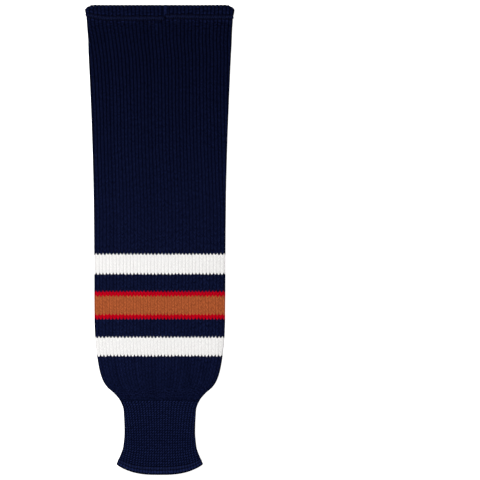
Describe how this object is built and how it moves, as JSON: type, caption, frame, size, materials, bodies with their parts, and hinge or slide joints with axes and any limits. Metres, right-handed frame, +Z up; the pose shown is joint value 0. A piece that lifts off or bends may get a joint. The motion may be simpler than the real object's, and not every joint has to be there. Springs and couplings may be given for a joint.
{
  "type": "hockey sock",
  "caption": "Footless knitted ice hockey sock laid flat: a ribbed leg tube with contrast stripes, a shaped calf, a narrow ribbed ankle and turned hems.",
  "frame": {"origin": "middle of the sock's length and width, on the surface that it lies on", "axes": "+Y along the leg from the ankle hem to the top hem, +X across the sock, +Z up out of the surface"},
  "size_m": [0.2264, 0.7112, 0.007],
  "materials": {
    "navy_knit": "matt ribbed knit in dark navy yarn",
    "white_knit": "matt ribbed knit in white yarn",
    "red_knit": "matt ribbed knit in bright red yarn",
    "copper_knit": "matt ribbed knit in copper orange yarn"
  },
  "bodies": {
    "root": {"top_welt": "navy_knit", "leg_upper": "navy_knit", "stripe_white_upper": "white_knit", "leg_band_upper": "navy_knit", "stripe_red_upper": "red_knit", "stripe_copper": "copper_knit", "stripe_red_lower": "red_knit", "leg_band_lower": "navy_knit", "stripe_white_lower": "white_knit", "calf": "navy_knit", "ankle_rib": "navy_knit", "bottom_hem": "navy_knit"}
  },
  "joints": []
}
